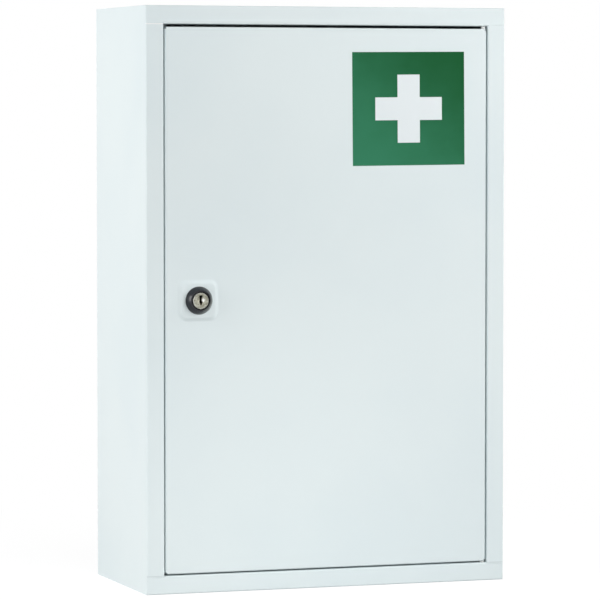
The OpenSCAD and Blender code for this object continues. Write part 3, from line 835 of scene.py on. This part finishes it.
# %% A recipe makes plain meshes
class Recipe:
    """A Geometry Nodes tree with named inputs. Its result is kept as a plain mesh."""

    KINDS = {float: "NodeSocketFloat", tuple: "NodeSocketVector"}

    def __init__(self, name, **sizes):
        self.tree = new_geometry_tree(name)
        self.sizes = sizes
        self.identifiers = {}
        for size, value in sizes.items():
            kind = self.KINDS[type(value)]
            socket = self.tree.interface.new_socket(size, in_out="INPUT", socket_type=kind)
            self.identifiers[size] = socket.identifier
        self.entry = self.tree.nodes.new("NodeGroupInput")

    def input(self, name):
        return Wire(self.tree, self.entry.outputs[name])

    def add(self, kind, settings=None, values=None, output=0):
        return add(self.tree, kind, settings, values, output)

    def circle(self, radius, sides):
        values = {"Resolution": sides, "Radius": radius}
        return self.add("GeometryNodeCurvePrimitiveCircle", {}, values)

    def sweep(self, curve, profile, capped=False):
        values = {"Curve": curve, "Profile Curve": profile, "Fill Caps": capped}
        return self.add("GeometryNodeCurveToMesh", {}, values)

    def serve(self, geometry, material):
        """Ends the tree: what it made becomes one plain mesh, with its finish on."""
        real = self.add("GeometryNodeRealizeInstances", {}, {"Geometry": geometry})
        dressed = self.add("GeometryNodeSetMaterial", {}, {"Geometry": real, "Material": material})
        self.add("NodeGroupOutput", {}, {"Geometry": dressed})

    def make(self, name, body, slot, start_mesh=None):
        """Runs the tree on a start mesh and returns a plain piece that rides on a body."""
        start_name = name + "_start"
        source = new_object(start_name, start_mesh or bpy.data.meshes.new(start_name))
        recipe = source.modifiers.new("recipe", "NODES")
        recipe.node_group = self.tree
        for size, value in self.sizes.items():
            recipe[self.identifiers[size]] = value
        depsgraph = bpy.context.evaluated_depsgraph_get()
        mesh = bpy.data.meshes.new_from_object(source.evaluated_get(depsgraph), depsgraph=depsgraph)
        bpy.data.objects.remove(source)
        piece = new_object(name, mesh)
        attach(piece, body)
        print(name, "has", len(mesh.polygons), "faces")
        return piece


# %% [markdown]
# ## Spot welds
#
# Two copper tips squeeze the rail against the side of the casing and melt a spot between them. The
# tips leave a flat ring with a raised lip, about 5 mm across, and the powder coat softens it. The welds
# lie at an even pitch along each seam. So the seams are drawn as plain edges, each with the
# direction it faces, and the recipe sets rings along them.

# %% Seams that are welded
RAILS = ("rail_lower_left", "rail_lower_right", "rail_upper_left", "rail_upper_right")
RAIL_SHEET = 1.0 * MM
SEAM_ABOVE_FOOT = 5.0 * MM
SEAM_FROM_END = 6 * MM


def rail_seams():
    """For each rail: a line near the middle of its upright leg, and the way that it faces."""
    seams = []
    for name in RAILS:
        low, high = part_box(name)
        side = LEFT if name.endswith("left") else RIGHT
        wall = low[0] if side == LEFT else high[0]
        x = wall - side * RAIL_SHEET
        z = low[2] + SEAM_ABOVE_FOOT
        front, back = low[1] + SEAM_FROM_END, high[1] - SEAM_FROM_END
        seams.append(((x, front, z), (x, back, z), (-side, 0, 0)))
    return seams


def seam_mesh(seams):
    """The seams as edges. Both ends of an edge carry the direction that it faces."""
    mesh = bpy.data.meshes.new("seams")
    ends = [end for start, stop, facing in seams for end in (start, stop)]
    mesh.from_pydata(ends, [(i, i + 1) for i in range(0, len(ends), 2)], [])
    directions = mesh.attributes.new("facing", "FLOAT_VECTOR", "POINT").data
    for index, (start, stop, facing) in enumerate(seams):
        directions[2 * index].vector = facing
        directions[2 * index + 1].vector = facing
    return mesh


welded_seams = rail_seams()
seam_lengths = [round((stop[1] - start[1]) / MM, 1) for start, stop, facing in welded_seams]
print("seams of", seam_lengths, "mm")

# %% Set a ring at every weld
WELD_RING = 1.9 * MM
WELD_LIP = 0.55 * MM
WELD_HEIGHT = 0.16 * MM
WELD_PITCH = 22.0 * MM
RING_SIDES, LIP_SIDES = 20, 8


def weld_rings():
    recipe = Recipe("weld_rings", Pitch=WELD_PITCH, Ring=WELD_RING, Lip=WELD_LIP, Height=WELD_HEIGHT)
    curves = recipe.add("GeometryNodeMeshToCurve", {}, {"Mesh": recipe.input("Geometry")})
    values = {"Curve": curves, "Length": recipe.input("Pitch")}
    places = recipe.add("GeometryNodeResampleCurve", {"mode": "LENGTH"}, values)
    circle = recipe.circle(recipe.input("Ring"), RING_SIDES)
    ring = recipe.sweep(circle, recipe.circle(recipe.input("Lip"), LIP_SIDES))
    values = {"X": 1.0, "Y": 1.0, "Z": recipe.input("Height") / recipe.input("Lip")}
    flatness = recipe.add("ShaderNodeCombineXYZ", {}, values)
    flat = recipe.add("GeometryNodeTransform", {}, {"Geometry": ring, "Scale": flatness})
    values = {"Geometry": flat, "Shade Smooth": True}
    smooth = recipe.add("GeometryNodeSetShadeSmooth", {}, values)
    settings = {"data_type": "FLOAT_VECTOR"}
    facing = recipe.add("GeometryNodeInputNamedAttribute", settings, {"Name": "facing"})
    turned = recipe.add("FunctionNodeAlignRotationToVector", {"axis": "Z"}, {"Vector": facing})
    values = {"Points": places, "Instance": smooth, "Rotation": turned}
    recipe.serve(recipe.add("GeometryNodeInstanceOnPoints", {}, values), inner_coat)
    return recipe


weld_rings().make("rail_welds", "casing", "inner_paint", seam_mesh(welded_seams))

# %% [markdown]
# ## Thread on the lock's barrel
#
# The nut runs on a fine thread that is cut into the round parts of the barrel. The barrel's two flats
# are milled afterwards and cut the thread away. The recipe winds a helix, gives it a four-cornered
# section that is sunk halfway into the barrel, and then pushes whatever lies outside the flats back
# inside them. The thread shows between the nut and the disc.

# %% Wind the thread
BARREL_RADIUS = 8.0 * MM
BARREL_HALF_FLAT = 7.0 * MM
BELOW_FLAT = 0.1 * MM
THREAD_PITCH = 1.0 * MM
THREAD_TOOTH = 0.45 * MM
THREAD_END_GAP = 0.6 * MM
TOOTH_CORNERS = 4
STEPS_PER_TURN = 48
NUT_BACK_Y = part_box("lock_nut")[1][1]
DISC_FRONT_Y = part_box("turn_disc")[0][1]
THREAD_LENGTH = DISC_FRONT_Y - NUT_BACK_Y - 2 * THREAD_END_GAP
HELIX_TO_BARREL = (math.radians(-90), 0.0, 0.0)


def barrel_thread():
    recipe = Recipe(
        "barrel_thread",
        Radius=BARREL_RADIUS,
        Flat=BARREL_HALF_FLAT - BELOW_FLAT,
        Length=THREAD_LENGTH,
        Turns=THREAD_LENGTH / THREAD_PITCH,
        Tooth=THREAD_TOOTH,
        Centre=(LOCK_X, NUT_BACK_Y + THREAD_END_GAP, LOCK_Z),
    )
    radius, flat = recipe.input("Radius"), recipe.input("Flat")
    helix = recipe.add("GeometryNodeCurveSpiral", {}, {
        "Resolution": STEPS_PER_TURN, "Rotations": recipe.input("Turns"),
        "Start Radius": radius, "End Radius": radius, "Height": recipe.input("Length"),
    })
    ridge = recipe.sweep(helix, recipe.circle(recipe.input("Tooth"), TOOTH_CORNERS), capped=True)
    place = recipe.add("GeometryNodeInputPosition")
    x, y, z = (recipe.add("ShaderNodeSeparateXYZ", {}, {"Vector": place}, axis) for axis in "XYZ")
    cut_back = x.at_most(flat).at_least(-1 * flat)
    moved = recipe.add("ShaderNodeCombineXYZ", {}, {"X": cut_back, "Y": y, "Z": z})
    milled = recipe.add("GeometryNodeSetPosition", {}, {"Geometry": ridge, "Position": moved})
    laid = recipe.add("GeometryNodeTransform", {}, {
        "Geometry": milled, "Rotation": HELIX_TO_BARREL, "Translation": recipe.input("Centre"),
    })
    recipe.serve(laid, zinc)
    return recipe


barrel_thread().make("barrel_thread", "door", "zinc")

# %% [markdown]
# ## Light
#
# The photograph was lit softly from the left and in front, in a white room: the left side of the
# casing is the brightest, and the door is even. Two softboxes on the left and two in front do that,
# with a small one high on the right and a weak glow at the lower left, where the photograph gets a
# little brighter. Of the two in front, the right one fills the shade only: it stays out of mirrors,
# because the lock in the photograph doesn't reflect one there. The background is white because the
# world and the floor show white to the camera. No lamp is raised for it.

# %% Light the cabinet
CABINET_MIDDLE = (0.0, 0.0, 0.23)
DOOR_UPPER_RIGHT = (0.1, -0.07, 0.4)
FRAME_LOWER_LEFT = (-0.08, -0.07, -0.01)


def area_lamp(name, place, target, size, watts, spread_degrees=180, mirrored=True):
    """A rectangular lamp that faces its target. The camera never sees it, and mirrored says whether
    glossy surfaces do."""
    data = bpy.data.lights.new(name, "AREA")
    data.shape = "RECTANGLE"
    data.size, data.size_y = size
    data.energy = watts
    data.spread = math.radians(spread_degrees)
    lamp = new_object(name, data)
    lamp.visible_camera = False
    lamp.visible_glossy = mirrored
    lamp.location = place
    lamp.rotation_euler = (Vector(target) - Vector(place)).to_track_quat("-Z", "Y").to_euler()


area_lamp("left_softbox", (-2.4, -0.40, 0.85), CABINET_MIDDLE, size=(1.4, 1.6), watts=29.1)
area_lamp("left_back_softbox", (-2.4, 0.65, 0.85), CABINET_MIDDLE, size=(1.3, 1.4), watts=12.7)
area_lamp("front_softbox", (0.6, -2.5, 0.95), CABINET_MIDDLE, size=(2.8, 1.7), watts=9.3)
area_lamp(
    "right_softbox", (1.6, -2.0, 0.65), CABINET_MIDDLE, size=(1.6, 1.2), watts=19.6, mirrored=False,
)
area_lamp("high_right_softbox", (0.75, -0.65, 0.85), DOOR_UPPER_RIGHT, size=(0.8, 0.8), watts=3.3)
area_lamp(
    "low_left_glow", (-0.2, -0.85, 0.40), FRAME_LOWER_LEFT, size=(0.35, 0.2), watts=0.072,
    spread_degrees=40,
)

# %% A white room round the cabinet
AMBIENT = 0.30
WHITE = (1.0, 1.0, 1.0, 1.0)


def ray(tree, kind):
    """1 for the rays of one kind, such as those from the camera."""
    return add(tree, "ShaderNodeLightPath", output="Is " + kind + " Ray")


world = bpy.data.worlds.new("studio")
bpy.context.scene.world = world
world.use_nodes = True
sky = world.node_tree
seen = ray(sky, "Camera") + ray(sky, "Glossy") + ray(sky, "Transmission")
plug(sky, sky.nodes["Background"].inputs["Color"], WHITE)
plug(sky, sky.nodes["Background"].inputs["Strength"], AMBIENT + (1 - AMBIENT) * seen)
bpy.context.scene.view_settings.view_transform = "Standard"
print("the room gives", AMBIENT, "of the light that it shows")

# %% The floor
FLOOR_SIZE = 12.0
FLOOR_BOUNCE = (0.5, 0.5, 0.5, 1.0)
FLOOR_PALE = (0.96, 0.96, 0.96, 1.0)
FLOOR_OWN_SHARE = 0.25
FLOOR_LIT = 0.55
OWN_SHARE_TO, WHITE_FROM = 0.2, 0.55


def pale_floor():
    """White to the camera, with a share of its own shading near the cabinet that keeps its shadow."""
    material = bpy.data.materials.new("floor")
    material.use_nodes = True
    tree = material.node_tree
    tree.nodes.clear()
    place = add(tree, "ShaderNodeTexCoord", output="Object")
    away = add(tree, "ShaderNodeVectorMath", {"operation": "LENGTH"}, {0: place}, "Value")
    near = add(tree, "ShaderNodeMapRange", {"interpolation_type": "SMOOTHSTEP"}, {
        "Value": away, "From Min": OWN_SHARE_TO, "From Max": WHITE_FROM,
        "To Min": FLOOR_OWN_SHARE, "To Max": 0.0,
    })
    # Where the floor is fully lit, its own share and the white add up to 1
    strength = (1 - near * FLOOR_LIT) / (1 - near)
    shade = mixed(tree, ray(tree, "Camera"), FLOOR_BOUNCE, FLOOR_PALE)
    matte = add(tree, "ShaderNodeBsdfDiffuse", {}, {"Color": shade})
    white = add(tree, "ShaderNodeEmission", {}, {"Color": WHITE, "Strength": strength})
    white_share = (ray(tree, "Camera") + ray(tree, "Glossy")) * (1 - near)
    shader = add(tree, "ShaderNodeMixShader", {}, {0: white_share, 1: matte, 2: white})
    add(tree, "ShaderNodeOutputMaterial", {}, {"Surface": shader})
    return material


floor_mesh = bpy.data.meshes.new("floor")
half = FLOOR_SIZE / 2
corners = [(-half, -half, 0), (half, -half, 0), (half, half, 0), (-half, half, 0)]
floor_mesh.from_pydata(corners, [], [(0, 1, 2, 3)])
floor = new_object("floor", floor_mesh)
put_on(floor, pale_floor())
print("floor", FLOOR_SIZE, "m wide")
